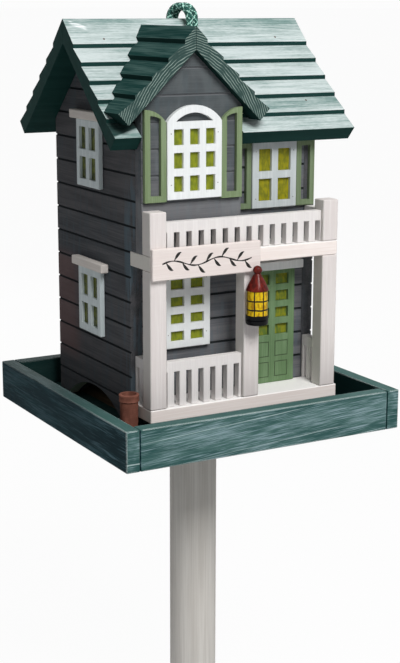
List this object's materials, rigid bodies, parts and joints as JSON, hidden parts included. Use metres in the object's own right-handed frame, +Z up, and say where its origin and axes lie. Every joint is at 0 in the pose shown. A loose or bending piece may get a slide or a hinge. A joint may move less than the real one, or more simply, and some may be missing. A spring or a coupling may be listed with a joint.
{
  "type": "pole bird feeder",
  "caption": "Cottage-shaped timber seed feeder with a porch, a balcony and a lift-off lap roof, standing in a seed tray on a round pole.",
  "frame": {"origin": "centre of the pole's foot", "axes": "+Z up the pole, the porch faces -Y, +X to the right of someone who faces the porch"},
  "size_m": [0.316, 0.312, 0.8376],
  "materials": {
    "siding_paint": "grey paint, dry and weathered, darker in the grooves",
    "roof_paint": "pale teal wash over dark green, worn on the faces",
    "dormer_paint": "dark green paint with a pale dry-brushed grain",
    "tray_paint": "teal paint dry-brushed with white along the grain",
    "trim_paint": "pale grey-white wash",
    "window_paint": "white paint round olive painted lights",
    "shutter_paint": "sage green paint",
    "door_paint": "green paint round olive painted lights",
    "bare_wood": "bare sawn softwood",
    "pole_paint": "smooth weathered grey",
    "zinc": "zinc plated",
    "lantern_paint": "red, yellow and black paint",
    "pot_paint": "turned, dull brownish red",
    "cord": "two-colour braid"
  },
  "bodies": {
    "house": {"pole": "pole_paint", "pole_flange": "zinc", "flange_screw_1": "zinc", "flange_screw_2": "zinc", "flange_screw_3": "zinc", "flange_screw_4": "zinc", "tray_floor": "tray_paint", "tray_wall_front": "tray_paint", "tray_wall_back": "tray_paint", "tray_wall_left": "tray_paint", "tray_wall_right": "tray_paint", "wall_left": "siding_paint", "wall_right": "siding_paint", "wall_front": "siding_paint", "wall_back": "siding_paint", "bay_front": "siding_paint", "bay_cheek_left": "siding_paint", "bay_cheek_right": "siding_paint", "seed_ramp_left": "bare_wood", "seed_ramp_right": "bare_wood", "porch_floor": "trim_paint", "porch_riser": "trim_paint", "porch_post_left": "trim_paint", "porch_post_middle": "trim_paint", "porch_post_right": "trim_paint", "porch_rail_front": "trim_paint", "porch_rail_left": "trim_paint", "porch_rail_right": "trim_paint", "balcony_deck": "trim_paint", "balcony_post_left": "trim_paint", "balcony_post_right": "trim_paint", "balcony_rail_front": "trim_paint", "balcony_rail_right": "trim_paint", "sign_board": "trim_paint", "window_left_upper": "window_paint", "window_left_lower": "window_paint", "window_right_upper": "window_paint", "window_right_lower": "window_paint", "window_porch": "window_paint", "window_balcony": "window_paint", "bay_window": "window_paint", "lintel_left_upper": "window_paint", "lintel_left_lower": "window_paint", "lintel_right_upper": "window_paint", "lintel_right_lower": "window_paint", "door_lintel": "window_paint", "bay_shutter_left": "shutter_paint", "bay_shutter_right": "shutter_paint", "balcony_shutter_left": "shutter_paint", "balcony_shutter_right": "shutter_paint", "door": "door_paint", "lantern": "lantern_paint", "flower_pot": "pot_paint"},
    "roof": {"roof_front": "roof_paint", "roof_back": "roof_paint", "dormer_roof_left": "dormer_paint", "dormer_roof_right": "dormer_paint", "roof_cleat_left": "bare_wood", "roof_cleat_right": "bare_wood", "lifting_cord": "cord"}
  },
  "joints": [
    {"name": "roof_lift", "type": "slide", "parent": "house", "child": "roof", "axis": [0, 0, 1], "range_m": [0, 0.15]}
  ]
}
